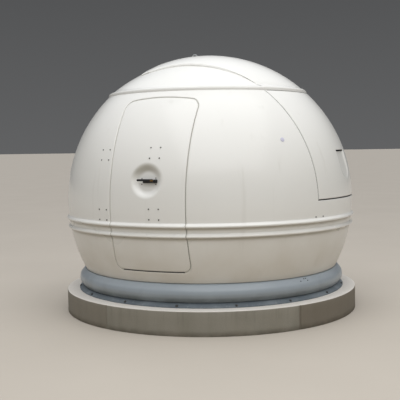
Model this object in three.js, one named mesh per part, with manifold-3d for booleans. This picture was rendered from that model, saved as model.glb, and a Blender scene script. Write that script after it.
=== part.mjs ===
// A ball-shaped observatory dome of glass-fibre mouldings, on a rounded base ring and a round concrete plinth.
// Millimetres, +Z up, origin at the centre of the plinth's foot. The door faces -Y and the slit opens to +X.
import * as THREE from "three";
import { mergeVertices } from "three/addons/utils/BufferGeometryUtils.js";
import Module from "manifold-3d";

const wasm = await Module();
wasm.setup();

// Driving dimensions.
const GAP = 0.3; // between fixed pieces that touch
const SEAM = 7; // between a moving panel and its surround
const STEP = 6; // degrees between the facets of the ball, both ways
const FAR = 4000; // beyond the whole model

const ball = { radius: 1500, height: 1138, skin: 8, foot: 443.5, lip: 2210.7 };
const rib = { heights: [889, 980], rise: 24, halfWidth: 31 };
const cap = { radius: 1607, height: 1001, reach: 1000, underside: 2211 };
const plinth = { radius: 1529, height: 229, chamfer: 6 };
const flange = { inner: 1290, outer: 1402, edge: 236, shoulder: 1360, top: 268, skin: 8 };
const ring = { foot: 1350, ledge: 1285, top: 438, skin: 10 };
const door = { half: 380, low: 557, top: 2146, topCorner: 75, lowCorner: 70, lowSeam: 12 };
const doorHingeSide = { seam: 11, rebate: 10, face: 3 };
const doorFrame = { inner: 1460, seat: 1485.7, overlap: 18, cover: 26 };
const slit = { half: 617, rear: -385, sill: 1165, edgeDepth: 45, edgeSkin: 8 };
const coaming = { inner: 1460, half: 585, width: 38, sillRise: 30, sillDrop: 15 };
const hatch = { low: 1177, innerLow: 1183, top: 45.6 };
const lipRim = { low: 2212.5 };
const skirt = { end: -475, over: 7, skin: 8 };
const flap = { half: 579, outer: 1483, inner: 1473, low: 43.9, joggle: 46.9, high: 50 };
const grip = { azimuth: 90, rise: 14, half: 150, top: 140, low: -170, ledge: 1455, foot: 1490, shell: 8 };
const gripFloor = [[130, 1455], [100, 1475]];
const dish = { azimuth: 0.5, rise: 9.5, rim: 170, floor: 100, depth: 38 };
const handle = { x: 25.5, length: 143, width: 32, height: 24, pivot: 54, lever: 149, thick: 12, lift: 31 };
const hinge = { eye: 14, bore: 8.6, pin: 8, ear: 12, play: 0.5, arm: 11, plate: 8 };
const doorHinge = { x: -560, y: -1255, heights: [1077, 1628], wallPlate: -477, doorPlate: 83, reach: 246 };
const hatchHinge = { x: 1325, z: 1005, y: 560, plateY: 607, plateZ: 1017, reach: 228, lift: 285 };
const eyeBolt = { radius: 30, bar: 6, azimuth: 270, rise: 84.3, seat: 1499.35, leg: 6 };

const root = new THREE.Group();

const finish = (color, roughness, metalness = 0) => new THREE.MeshStandardMaterial({ color, roughness, metalness });
const gelcoat = finish(0xe9eae6, 0.35);
const inside = finish(0xd8d8d2, 0.6);
const ringGrey = finish(0x8d979d, 0.45);
const slate = finish(0x555f65, 0.6);
const concrete = finish(0x8b8578, 0.95);
const steel = finish(0xa4a7a8, 0.35, 1);
const black = finish(0x151617, 0.4);
const brass = finish(0x8a6d45, 0.4, 1);

const sin = (degrees) => Math.sin((degrees * Math.PI) / 180);
const cos = (degrees) => Math.cos((degrees * Math.PI) / 180);
const arcsin = (ratio) => (Math.asin(ratio) * 180) / Math.PI;

// A closed three.js geometry as a manifold-3d solid, its faces turned outwards.
function solidOf(geometry) {
  const plain = geometry.index ? geometry.toNonIndexed() : geometry.clone();
  plain.deleteAttribute("normal");
  plain.deleteAttribute("uv");
  const merged = mergeVertices(plain, 1e-3);
  const vertProperties = merged.attributes.position.array;
  const corners = merged.index.array;
  const faces = [];
  for (let i = 0; i < corners.length; i += 3) {
    const [a, b, c] = corners.slice(i, i + 3);
    if (a !== b && b !== c && c !== a) faces.push(a, b, c);
  }
  const build = (list) =>
    new wasm.Manifold(new wasm.Mesh({ numProp: 3, vertProperties, triVerts: new Uint32Array(list) }));
  const solid = build(faces);
  return solid.volume() > 0 ? solid : build(faces.reverse());
}

const join = (solids) => solids.reduce((whole, solid) => whole.add(solid));

// A solid as a named mesh of the model.
function addNode(name, solid, material) {
  const { vertProperties, triVerts } = solid.getMesh();
  const geometry = new THREE.BufferGeometry();
  geometry.setAttribute("position", new THREE.BufferAttribute(new Float32Array(vertProperties), 3));
  geometry.setIndex(new THREE.BufferAttribute(new Uint32Array(triVerts), 1));
  geometry.computeVertexNormals();
  const mesh = new THREE.Mesh(geometry, material);
  mesh.name = name;
  root.add(mesh);
}

// A solid through a row of closed outlines with as many points each, its ends closed unless it runs all round.
function lofted(outlines, place, allRound = false) {
  const rows = outlines.length;
  const n = outlines[0].length;
  const points = outlines.flatMap((outline, row) => outline.flatMap((point) => place(point, row)));
  const faces = [];
  for (let i = 0; i < (allRound ? rows : rows - 1); i++) {
    const near = i * n;
    const next = ((i + 1) % rows) * n;
    for (let j = 0; j < n; j++) {
      const k = (j + 1) % n;
      faces.push(near + j, next + j, next + k, near + j, next + k, near + k);
    }
  }
  if (!allRound) {
    for (const [row, turnedBack] of [[0, false], [rows - 1, true]]) {
      const flat = outlines[row].map(([u, v]) => new THREE.Vector2(u, v));
      const backwards = THREE.ShapeUtils.isClockWise(flat) !== turnedBack;
      const first = row * n;
      for (const [a, b, c] of THREE.ShapeUtils.triangulateShape(flat, [])) {
        faces.push(first + a, first + (backwards ? c : b), first + (backwards ? b : c));
      }
    }
  }
  const geometry = new THREE.BufferGeometry();
  geometry.setAttribute("position", new THREE.Float32BufferAttribute(points, 3));
  geometry.setIndex(faces);
  return solidOf(geometry);
}

// A closed outline of (radius, height) points turned about the upright axis, all round or between two azimuths.
// Azimuth runs from the door's middle (-Y) towards the slit (+X).
function turned(outline, from = 0, to = 360) {
  const whole = to - from >= 360;
  const stops = [from];
  for (let a = STEP * (Math.floor(from / STEP) + 1); a < to - 1e-6; a += STEP) stops.push(a);
  if (!whole) stops.push(to);
  const place = ([r, z], i) => [r * sin(stops[i]), -r * cos(stops[i]), z];
  return lofted(stops.map(() => outline), place, whole);
}

function box([x0, x1], [y0, y1], [z0, z1]) {
  const geometry = new THREE.BoxGeometry(x1 - x0, y1 - y0, z1 - z0);
  return solidOf(geometry.translate((x0 + x1) / 2, (y0 + y1) / 2, (z0 + z1) / 2));
}

// A round bar along y or z, through a point of the other two axes.
function bar(axis, [x, y, z], radius, from, to) {
  const geometry = new THREE.CylinderGeometry(radius, radius, to - from, 24).translate(0, (from + to) / 2, 0);
  if (axis === "z") geometry.rotateX(Math.PI / 2);
  return solidOf(geometry.translate(x, y, z));
}

// A round bar swept along a smooth curve through the points.
function barGeometry(points, radius) {
  const extrudePath = new THREE.CatmullRomCurve3(points.map((p) => new THREE.Vector3(...p)), false, "centripetal");
  const section = new THREE.Shape().absarc(0, 0, radius, 0, 2 * Math.PI);
  return new THREE.ExtrudeGeometry(section, { extrudePath, steps: 18, curveSegments: 5 });
}
const sweptBar = (points, radius) => solidOf(barGeometry(points, radius));

// A flat outline of (x, z) run through everything on the door's side.
function throughDoor(shape) {
  const geometry = new THREE.ExtrudeGeometry(shape, { depth: FAR, bevelEnabled: false, curveSegments: 6 });
  return solidOf(geometry.rotateX(Math.PI / 2));
}

// Puts a shape that is drawn round the z axis, with z as distance from the ball's centre, onto the ball.
function onBall(geometry, azimuth, rise) {
  geometry.rotateX(((90 - rise) * Math.PI) / 180).rotateZ((azimuth * Math.PI) / 180);
  return solidOf(geometry.translate(0, 0, ball.height));
}

// How far a rib lifts the skin at a height.
function ribRise(z) {
  const shares = rib.heights.map((height) => Math.abs(z - height) / rib.halfWidth);
  return shares.reduce((rise, share) => (share < 1 ? rise + rib.rise * cos(90 * share) ** 2 : rise), 0);
}

// Elevations from the ball's centre: one a step, and closer together on the ribs.
function elevations(low, high) {
  const ribShares = [-1, -0.35, 0.35, 1];
  const ribStops = rib.heights.flatMap((height) =>
    ribShares.map((share) => arcsin((height + share * rib.halfWidth - ball.height) / ball.radius)),
  );
  const stops = ribStops.filter((e) => e > low + 0.2 && e < high - 0.2);
  const onRib = (e) => ribStops.some((stop) => Math.abs(stop - e) < 2);
  for (let e = STEP * Math.ceil((low + 0.5) / STEP); e < high - 0.5; e += STEP) if (!onRib(e)) stops.push(e);
  return [low, ...stops.sort((a, b) => a - b), high];
}

// One face of the ball from a low to a high level, at a distance from its centre.
function ballLine(radius, low, high) {
  const turn = (z) => arcsin(Math.min(1, (z - ball.height) / radius));
  return elevations(turn(low), turn(high)).map((e) => {
    const r = radius + ribRise(ball.height + ball.radius * sin(e));
    return [Math.max(0, r * cos(e)), ball.height + r * sin(e)];
  });
}

// A band of the ball between two distances from its centre.
const ballBand = (inner, outer, low, high, innerLow = low) => [
  ...ballLine(outer, low, high),
  ...ballLine(inner, innerLow, high).reverse(),
];
const innerRadius = ball.radius - ball.skin;
const wallBand = (low, high) => ballBand(innerRadius, ball.radius, low, high);
const besideSlit = slit.half + SEAM;
const slitEdge = besideSlit + slit.edgeSkin;
const slitRear = slit.rear + SEAM;
const edgeInner = ball.radius - slit.edgeDepth;

// The door's outline from the front, grown by a margin; its top edge follows the ball.
function doorOutline(margin, hingeMargin = margin, lowMargin = margin) {
  const left = -door.half - hingeMargin;
  const right = door.half + margin;
  const low = door.low - lowMargin;
  const slope = (door.top - ball.height) / ball.radius;
  const top = (x) => door.top + margin - slope * (ball.radius - Math.sqrt(ball.radius ** 2 - x ** 2));
  const upper = door.topCorner + margin;
  const lower = door.lowCorner + margin;
  const shape = new THREE.Shape();
  shape.moveTo(left + lower, low);
  shape.lineTo(right - lower, low);
  shape.absarc(right - lower, low + lower, lower, -Math.PI / 2, 0);
  const shoulder = top(right - upper);
  shape.lineTo(right, shoulder - upper);
  shape.absarc(right - upper, shoulder - upper, upper, 0, Math.PI / 2);
  shape.quadraticCurveTo(0, 2 * top(0) - shoulder, left + upper, shoulder);
  shape.absarc(left + upper, shoulder - upper, upper, Math.PI / 2, Math.PI);
  shape.lineTo(left, low + lower);
  shape.absarc(left + lower, low + lower, lower, Math.PI, 1.5 * Math.PI);
  return shape;
}
const doorway = throughDoor(doorOutline(SEAM, doorHingeSide.seam, door.lowSeam));

// Base: the plinth, the sloped flange that is bolted to it, and the ring that carries the ball.
function buildBase() {
  const { radius, height, chamfer } = plinth;
  const slab = [[0, 0], [radius, 0], [radius, height - chamfer], [radius - chamfer, height], [0, height]];
  addNode("plinth", turned(slab), concrete);
  const low = height + GAP;
  const { inner, outer, edge, shoulder, top, skin } = flange;
  const slope = [[inner, low], [inner + skin, low], [inner + skin, top - skin], [shoulder - 3, top - skin]];
  slope.push([outer - 16, edge], [outer - 12, low], [outer, low], [outer, edge], [shoulder, top], [inner, top]);
  addNode("base_flange", turned(slope), slate);
  const foot = top + GAP;
  const ledge = ring.top - ring.skin;
  const section = [[ring.foot, foot], [1362, 274], [1391, 318], [1397, 345]];
  section.push([1388, 385], [1352, 428], [1341, ring.top], [ring.ledge, ring.top]);
  section.push([ring.ledge, ledge], [1336, ledge], [1377, 382], [1386, 345], [1381, 322], [1356, 284]);
  section.push([1300, 284], [1300, foot]);
  for (let i = 0; i < 4; i++) {
    const start = 45 + 90 * i;
    addNode("base_ring_" + (i + 1), turned(section, start + 0.01, start + 89.99), ringGrey);
  }
}

// A whole shell of the ball between two distances from its centre, from its foot to its top.
const shell = (inner, outer) => turned(ballBand(inner, outer, ball.foot, FAR));

// The walls of the ball, split beside, over and under the doorway and the slit.
function buildWalls() {
  const whole = wallBand(ball.foot, ball.lip);
  const slitHole = box([0, FAR], [-besideSlit, besideSlit], [slit.sill, FAR]);
  const deep = turned(ballBand(edgeInner, ball.radius, ball.foot, ball.lip), 0, 180);
  const besideDoor = 10;
  const underHatch = 70;
  const split = 0.01;
  const edge = (side) => deep.intersect(box([0, FAR], side, [slit.sill, FAR]));
  const right = turned(whole, besideDoor, underHatch - split).subtract(slitHole).subtract(doorway);
  const backRight = turned(whole, 180 - underHatch + split, 180 - split).subtract(slitHole);
  addNode("wall_front_right", right.add(edge([-slitEdge, -besideSlit])), gelcoat);
  addNode("wall_back_right", backRight.add(edge([besideSlit, slitEdge])), gelcoat);
  addNode("wall_back_left", turned(whole, 180 + split, 270 - split), gelcoat);
  addNode("wall_front_left", turned(whole, 270 + split, 360 - besideDoor).subtract(doorway), gelcoat);
  const overDoor = turned(wallBand(2000, ball.lip), -besideDoor + split, besideDoor - split);
  const underDoor = turned(wallBand(ball.foot, 700), -besideDoor + split, besideDoor - split);
  addNode("wall_over_door", overDoor.subtract(doorway), gelcoat);
  addNode("wall_under_door", underDoor.subtract(doorway), gelcoat);
  addNode("wall_under_hatch", turned(wallBand(ball.foot, slit.sill), underHatch, 180 - underHatch), gelcoat);
}

// The ball's foot: a flat ring inside the skin that turns on the base ring's ledge.
function buildFoot() {
  const outer = Math.sqrt(innerRadius ** 2 - (ball.height - ball.foot) ** 2) - GAP;
  const inner = ring.ledge + 5;
  const low = ring.top + GAP;
  const high = low + 16;
  const section = [[inner, low], [outer, low], [outer, high], [inner, high]];
  for (let i = 0; i < 4; i++) addNode("foot_ring_" + (i + 1), turned(section, 90 * i + 0.01, 90 * i + 89.99), inside);
}

// One face of the flatter cap, from its apex out to its rim.
function capLine(radius) {
  const end = arcsin(cap.reach / radius);
  const steps = 9;
  return Array.from({ length: steps + 1 }, (_, i) => {
    const angle = (end * i) / steps;
    return [radius * sin(angle), cap.height + radius * cos(angle)];
  });
}

// The cap on top with its rim and, beside the slit, its turned-down edges.
function buildCap() {
  const rim = [[1026, 2250], [1042, 2242], [1050, 2228], [1050, cap.underside]];
  const skin = turned([...capLine(cap.radius), ...rim, [1028, cap.underside], ...capLine(cap.radius - 8).reverse()]);
  const block = turned([...capLine(cap.radius), ...rim, [0, cap.underside]]);
  const hollow = turned([...ballLine(edgeInner, 2000, FAR), [0, 2000]]);
  const edges = block.subtract(hollow);
  const up = [0, FAR];
  const inward = besideSlit - GAP;
  const piece = (x, y, edgeX, edgeY) =>
    skin.intersect(box(x, y, up)).add(edges.intersect(box(edgeX, edgeY, up)));
  const alongSlit = [slitRear - slit.edgeSkin, FAR];
  addNode("cap_near", piece([-FAR, FAR], [-FAR, -besideSlit], alongSlit, [-slitEdge, -besideSlit]), gelcoat);
  addNode("cap_far", piece([-FAR, FAR], [besideSlit, FAR], alongSlit, [besideSlit, slitEdge]), gelcoat);
  const rear = [slitRear - slit.edgeSkin, slitRear];
  addNode("cap_rear", piece([-FAR, slitRear], [-inward, inward], rear, [-inward, inward]), gelcoat);
}

// The raised coaming inside the slit, on which the shutter and the hatch close.
function buildCoaming() {
  const top = innerRadius - GAP;
  const low = slit.sill - coaming.sillDrop;
  const sill = slit.sill + coaming.sillRise;
  const band = shell(coaming.inner, top);
  const outer = besideSlit - GAP;
  const rear = slitRear + GAP;
  addNode("coaming_near", band.intersect(box([rear, FAR], [-outer, -coaming.half], [sill, FAR])), gelcoat);
  addNode("coaming_far", band.intersect(box([rear, FAR], [coaming.half, outer], [sill, FAR])), gelcoat);
  const between = [-coaming.half + GAP, coaming.half - GAP];
  addNode("coaming_rear", band.intersect(box([rear, rear + coaming.width], between, [sill, FAR])), gelcoat);
  addNode("hatch_sill", band.intersect(box([0, FAR], [-outer, outer], [low, sill - GAP])), gelcoat);
}

// A frame behind the wall round the doorway, on which the door closes.
function buildDoorFrame() {
  const behindWall = shell(doorFrame.inner, innerRadius - GAP);
  const behindDoor = shell(doorFrame.inner, doorFrame.seat);
  const around = throughDoor(doorOutline(doorFrame.cover));
  const clear = throughDoor(doorOutline(-doorFrame.overlap));
  const outside = behindWall.intersect(around).subtract(doorway);
  addNode("door_frame", outside.add(behindDoor.intersect(around)).subtract(clear), inside);
}

// Against the inside of the skin: a shell of plate thickness for the hinges' plates, and all the room inside it.
const plates = shell(innerRadius - GAP - hinge.plate, innerRadius - GAP);
const room = turned([...ballLine(innerRadius - GAP, ball.foot, FAR), [0, ball.foot]]);
const earFrom = hinge.eye + hinge.play;
const earTo = earFrom + hinge.ear;

// Door hinges: forks on the wall, and arms that dip inwards past the frame to the middle of the door.
function buildDoorHinges() {
  const { x, y, wallPlate, doorPlate, reach } = doorHinge;
  ["lower", "upper"].forEach((name, i) => {
    const z = doorHinge.heights[i];
    const half = 65;
    const across = Math.sqrt((innerRadius - 4) ** 2 - (z - ball.height) ** 2 - x ** 2);
    const wall = plates.intersect(box([x - 20, wallPlate + 60], [-FAR, 0], [z - half, z + half]));
    const ears = [[earFrom, earTo], [-earTo, -earFrom]].map(([low, high]) =>
      box([x - hinge.eye, x + hinge.eye], [-across, y], [z + low, z + high])
        .intersect(room)
        .add(bar("z", [x, y, z], hinge.eye, low, high)),
    );
    const pin = bar("z", [x, y, z], hinge.pin, -earTo + 1, earTo - 1);
    addNode("door_hinge_" + name, join([wall, ...ears, pin]), steel);

    const panel = plates.intersect(box([doorPlate - half, doorPlate + half], [-FAR, 0], [z - half, z + half]));
    const end = Math.sqrt((innerRadius - 1.5 * hinge.plate) ** 2 - (z - ball.height) ** 2 - doorPlate ** 2);
    const inner = y + reach;
    const route = [[x, y + 9, z], [x + 3, y + 0.55 * reach, z], [x + 60, inner, z], [x + 190, inner + 4, z]];
    route.push([doorPlate - 120, y + 0.35 * reach, z], [doorPlate, -end, z]);
    const eye = bar("z", [x, y, z], hinge.eye, -hinge.eye, hinge.eye);
    const bore = bar("z", [x, y, z], hinge.bore, -earTo, earTo);
    addNode("door_arm_" + name, join([panel, sweptBar(route, hinge.arm), eye]).subtract(bore), steel);
  });
}

// Hatch hinges: the same forks and arms, in an upright plane at each side of the hatch.
function buildHatchHinges() {
  const { x, z, y, plateY, plateZ, reach, lift } = hatchHinge;
  const top = z + lift;
  const end = Math.sqrt((innerRadius - 1.5 * hinge.plate) ** 2 - (top - ball.height) ** 2 - y ** 2);
  for (const [name, side] of [["near", -1], ["far", 1]]) {
    const centre = side * y;
    const spread = [side * plateY - 76, side * plateY + 76];
    const wall = plates.intersect(box([0, FAR], spread, [plateZ - 42, plateZ + 55]));
    const ears = [[earFrom, earTo], [-earTo, -earFrom]].map(([low, high]) =>
      box([x, FAR], [centre + low, centre + high], [z - hinge.eye, z + hinge.eye])
        .intersect(room)
        .add(bar("y", [x, centre, z], hinge.eye, low, high)),
    );
    const pin = bar("y", [x, centre, z], hinge.pin, -earTo + 1, earTo - 1);
    addNode("hatch_hinge_" + name, join([wall, ...ears, pin]), steel);

    const strap = plates.intersect(box([0, FAR], [centre - 13, centre + 13], [top - 60, top + 60]));
    const route = [[x - 9, centre, z], [x - 0.5 * reach, centre, z - 6], [x - 0.93 * reach, centre, z - 2]];
    route.push([x - reach, centre, z + 42], [x - 0.95 * reach, centre, z + 95], [x - 0.5 * reach, centre, top - 65]);
    route.push([end, centre, top]);
    const eye = bar("y", [x, centre, z], hinge.eye, -hinge.eye, hinge.eye);
    const bore = bar("y", [x, centre, z], hinge.bore, -earTo, earTo);
    addNode("hatch_arm_" + name, join([strap, sweptBar(route, hinge.arm), eye]).subtract(bore), steel);
  }
}

// A solid turned about the dish's own axis, from (radius, distance from the ball's centre) points.
function turnedOnDoor(outline) {
  const geometry = new THREE.LatheGeometry(outline.map(([r, d]) => new THREE.Vector2(r, d)), 32);
  return onBall(geometry.rotateX(Math.PI / 2), dish.azimuth, dish.rise);
}

// The door: a ribbed skin with rounded corners, thinned along the hinge side, and the round dish of its handle.
function buildDoor() {
  const { rim, floor, depth } = dish;
  const face = ball.radius - doorHingeSide.face;
  const span = [500, 2190];
  const front = turned(ballBand(face, ball.radius, ...span), -17, 17).intersect(throughDoor(doorOutline(0)));
  const backOutline = throughDoor(doorOutline(0, -doorHingeSide.rebate));
  const back = turned(ballBand(innerRadius, face + 0.5, ...span), -17, 17).intersect(backOutline);
  const bottom = ball.radius - depth;
  const hole = turnedOnDoor([[0, 1300], [rim, 1300], [rim, 1700], [0, 1700]]);
  const section = [[0, bottom - 8], [floor + 4, bottom - 8], [rim + 6, 1482.2], [rim + 6, 1486.9], [rim, 1489.6]];
  section.push([rim - 12, 1487], [floor + 12, bottom + 3], [floor, bottom], [0, bottom]);
  addNode("door_panel", front.add(back).subtract(hole).add(turnedOnDoor(section)), gelcoat);
}

// The door's handle in the dish: a body on the dish floor, a lever on it, and the lock in the lever's boss.
function buildHandle() {
  const floor = ball.radius - dish.depth;
  const { x, length, width, height, pivot, lever, thick, lift } = handle;
  const onDish = (geometry) => onBall(geometry, dish.azimuth, dish.rise);
  const body = new THREE.BoxGeometry(length, width, height).translate(x, 0, floor + GAP + height / 2);
  addNode("handle_body", onDish(body), black);
  const rod = (radius, low, high) =>
    onDish(new THREE.CylinderGeometry(radius, radius, high - low, 24).rotateX(Math.PI / 2).translate(pivot, 0, (low + high) / 2));
  const low = floor + height + 2 * GAP;
  const high = floor + lift + thick;
  const grips = new THREE.BoxGeometry(lever, 20, thick).translate(pivot - lever / 2, 6, floor + lift + thick / 2);
  const turning = rod(16, low, high).add(onDish(grips)).subtract(rod(9.3, high - 9, FAR));
  addNode("handle_lever", turning, black);
  addNode("lock_cylinder", rod(9, high - 9 + GAP, high + 3), brass);
}

// The hatch: the slit's lower panel, hinged at its foot, with a U-shaped scoop for the fingers under a ledge.
function buildHatch() {
  const high = ball.height + ball.radius * sin(hatch.top);
  const outline = [
    ...ballLine(ball.radius, hatch.low, high),
    ...ballLine(innerRadius, hatch.innerLow, ball.height + innerRadius * sin(hatch.top)).reverse(),
  ];
  const skin = turned(outline, 55, 125).intersect(box([0, FAR], [-slit.half, slit.half], [0, FAR]));
  const { azimuth, rise, half, top, low, ledge, foot, shell: thick } = grip;
  const scoop = (margin, from) => {
    const shape = new THREE.Shape().moveTo(-half - margin, top + margin).lineTo(half + margin, top + margin);
    shape.absellipse(0, low + half, half + margin, half + margin, 0, -Math.PI, true);
    const depth = ball.radius + margin - from;
    const geometry = new THREE.ExtrudeGeometry(shape, { depth, bevelEnabled: false, curveSegments: 12 });
    return onBall(geometry.translate(0, 0, from), azimuth, rise);
  };
  const slope = new THREE.Shape().moveTo(low, foot).lineTo(low, FAR).lineTo(top, FAR).lineTo(top, ledge);
  for (const [up, depth] of gripFloor) slope.lineTo(up, depth);
  const wedge = new THREE.ExtrudeGeometry(slope, { depth: 2 * half, bevelEnabled: false }).translate(0, 0, -half);
  const upright = new THREE.Matrix4().set(0, 0, 1, 0, 1, 0, 0, 0, 0, 1, 0, 0, 0, 0, 0, 1);
  const cut = scoop(0, ledge - thick).intersect(onBall(wedge.applyMatrix4(upright), azimuth, rise));
  const behind = turned([...ballLine(innerRadius + 1, ball.foot, FAR), [0, ball.foot]]);
  const pad = scoop(thick, ledge - thick).intersect(behind);
  addNode("hatch_panel", skin.add(pad).subtract(cut), gelcoat);
}

// The height of the ball's face, or of the cap's, over a point.
const overBall = (radius, x, y) => ball.height + Math.sqrt(radius ** 2 - x ** 2 - y ** 2);
const overCap = (x, y) => cap.height + Math.sqrt(cap.radius ** 2 - x ** 2 - y ** 2);

// The upper shutter: a lid over the cap with a rim on its front edge and a skirt that slopes down to the cap
// behind, a flap that closes the gap behind the hatch's top, and the lifting eye near its rear edge.
function buildShutter() {
  const at = (distance, e) => [distance * cos(e), ball.height + distance * sin(e)];
  const across = (half) => box([slit.rear, FAR], [-half, half], [0, FAR]);
  const top = ballLine(ball.radius, ball.height + ball.radius * sin(50), FAR).reverse();
  const rim = [[977, 2269.5], [1004, 2261], [1025, 2250], [1035, 2237], [1038, 2220], [1038, lipRim.low]];
  const lid = turned([...top, ...rim, ...ballLine(innerRadius, lipRim.low, FAR)]);
  const rows = 12;
  const stops = Array.from({ length: rows + 1 }, (_, i) => slit.half * ((2 * i) / rows - 1));
  const front = slit.rear + 2;
  const slope = stops.map((y) => {
    const foot = overCap(skirt.end, y) + skirt.over;
    const outer = [[front, overBall(ball.radius - 4, front, y)], [skirt.end, foot + skirt.skin]];
    return [...outer, [skirt.end, foot], [front, overBall(innerRadius + 0.5, front, y)]];
  });
  const behind = lofted(slope, ([x, z], row) => [x, stops[row], z]);
  addNode("upper_shutter", lid.intersect(across(slit.half)).add(behind), gelcoat);

  const seat = innerRadius - 2;
  const section = [at(seat, flap.high), at(seat, flap.joggle + 0.6), at(flap.outer, flap.joggle)];
  section.push(at(flap.outer, flap.low), at(flap.inner, flap.low), at(flap.inner, flap.high));
  addNode("shutter_flap", turned(section, 0, 180).intersect(across(flap.half)), gelcoat);

  const { radius, bar: thick, azimuth, rise, seat: foot, leg } = eyeBolt;
  const arch = [-90, -45, 0, 45, 90].map((angle) => [0, radius * sin(angle), foot + leg + radius * cos(angle)]);
  const eye = barGeometry([[0, -radius, foot], ...arch, [0, radius, foot]], thick);
  addNode("lifting_eye", onBall(eye, azimuth, rise), steel);
}

buildBase();
buildFoot();
buildWalls();
buildCap();
buildCoaming();
buildDoorFrame();
buildDoorHinges();
buildHatchHinges();
buildDoor();
buildHandle();
buildHatch();
buildShutter();

export default root;
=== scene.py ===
"""A ball-shaped observatory dome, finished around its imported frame.

Metres, +Z up, with the door at -Y and the slit at +X.
"""

import math

import bmesh
import bpy
from mathutils import Matrix, Vector

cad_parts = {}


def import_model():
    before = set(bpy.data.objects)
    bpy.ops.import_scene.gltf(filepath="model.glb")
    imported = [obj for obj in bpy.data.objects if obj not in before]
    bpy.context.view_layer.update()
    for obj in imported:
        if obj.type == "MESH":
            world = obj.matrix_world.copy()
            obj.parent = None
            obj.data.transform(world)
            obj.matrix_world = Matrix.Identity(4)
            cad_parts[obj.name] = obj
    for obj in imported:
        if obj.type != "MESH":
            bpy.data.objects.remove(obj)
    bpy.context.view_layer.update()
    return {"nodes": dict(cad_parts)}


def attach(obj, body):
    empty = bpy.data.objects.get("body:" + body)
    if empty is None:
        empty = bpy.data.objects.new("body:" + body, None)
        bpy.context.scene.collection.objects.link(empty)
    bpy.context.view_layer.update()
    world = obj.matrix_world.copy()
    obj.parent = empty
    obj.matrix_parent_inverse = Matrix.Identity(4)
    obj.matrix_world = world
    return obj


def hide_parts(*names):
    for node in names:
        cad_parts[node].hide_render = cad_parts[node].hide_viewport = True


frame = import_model()

# Camera: hand-held just above eye level, eight metres out, to the right of the door.
# The lens is a little long, and the picture is square.
eye = Vector((3.1982, -7.5016, 1.6734))
right = Vector((0.91507, 0.40298, -0.01616))
upward = Vector((-0.01286, 0.06921, 0.99752))
camera = bpy.data.objects.new("camera", bpy.data.cameras.new("camera"))
camera.data.sensor_width = 36.0
camera.data.lens = 68.4
turned_round = Matrix((right, upward, right.cross(upward))).transposed().to_4x4()
camera.matrix_world = Matrix.Translation(eye) @ turned_round
bpy.context.scene.collection.objects.link(camera)
bpy.context.scene.camera = camera


# Studio: a pale floor under a soft grey surround that is brightest overhead, like a bright overcast day.
# One broad light hangs above the dome, a little towards the camera.
class Socket:
    """A socket of a shader's nodes. Arithmetic on it adds Math nodes, and add() makes any other node."""

    def __init__(self, tree, socket=None):
        self.tree = tree
        self.socket = socket

    def add(self, kind, settings=None, inputs=None, output=0):
        """A node of a type: first its settings or a ramp's stops, then the values or links of its sockets."""
        node = self.tree.nodes.new(kind)
        for name, value in (settings or {}).items():
            if name == "stops":
                ends = node.color_ramp.elements
                ends[0].position, ends[0].color = value[0]
                ends[1].position, ends[1].color = value[-1]
                for stop, colour in value[1:-1]:
                    ends.new(stop).color = colour
            else:
                setattr(node, name, value)
        for name, value in (inputs or {}).items():
            if isinstance(value, Socket):
                self.tree.links.new(value.socket, node.inputs[name])
            else:
                node.inputs[name].default_value = value
        return Socket(self.tree, node.outputs[output])

    def maths(self, operation, *values):
        return self.add("ShaderNodeMath", {"operation": operation}, dict(enumerate(values)))

    def vector(self, operation, other, output=0):
        """Vector Math on this socket and a vector. Output 1 is the one that gives a number."""
        return self.add("ShaderNodeVectorMath", {"operation": operation}, {0: self, 1: other}, output)

    def __add__(self, other):
        return self.maths("ADD", self, other)

    __radd__ = __add__

    def __sub__(self, other):
        return self.maths("SUBTRACT", self, other)

    def __rsub__(self, other):
        return self.maths("SUBTRACT", other, self)

    def __mul__(self, other):
        return self.maths("MULTIPLY", self, other)

    __rmul__ = __mul__

    def step(self, low, high):
        """Rises smoothly from 0 at low to 1 at high."""
        return self.add(
            "ShaderNodeMapRange",
            {"interpolation_type": "SMOOTHSTEP"},
            {"Value": self, "From Min": low, "From Max": high},
        )

    def noise(self, scale, detail=3.0, stretch=(1, 1, 1)):
        """Cloudy noise from 0 to 1 over the place that this socket gives."""
        place = self.add("ShaderNodeMapping", {}, {"Vector": self, "Scale": stretch})
        return self.add("ShaderNodeTexNoise", {}, {"Vector": place, "Scale": scale, "Detail": detail})

    def mix(self, *colours):
        """A colour between two others, each a socket or a picture's red, green and blue."""
        first, second = (shade(*colour) if isinstance(colour, tuple) else colour for colour in colours)
        return self.add("ShaderNodeMix", {"data_type": "RGBA"}, {0: self, 6: first, 7: second}, 2)

    def bump(self, distance):
        """A normal from this socket as a height."""
        return self.add("ShaderNodeBump", {}, {"Height": self, "Distance": distance})

    def feed(self, node, name):
        self.tree.links.new(self.socket, node.inputs[name])


def shade(red, green, blue):
    """A colour as a picture gives it, from 0 to 255, in the linear values that a shader takes."""
    values = [value / 255 for value in (red, green, blue)]
    return (*(v / 12.92 if v < 0.04045 else ((v + 0.055) / 1.055) ** 2.4 for v in values), 1.0)


def new_finish(name, roughness, metallic=0.0):
    """A material, its shader, and the place on the piece in metres."""
    made = bpy.data.materials.new(name)
    made.use_nodes = True
    shader = made.node_tree.nodes["Principled BSDF"]
    shader.inputs["Roughness"].default_value = roughness
    shader.inputs["Metallic"].default_value = metallic
    return made, shader, Socket(made.node_tree).add("ShaderNodeTexCoord", output="Object")


def part_of(place, axis=2):
    """One coordinate of a place: its height, unless another axis is asked for."""
    return place.add("ShaderNodeSeparateXYZ", {}, {0: place}, axis)


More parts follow.
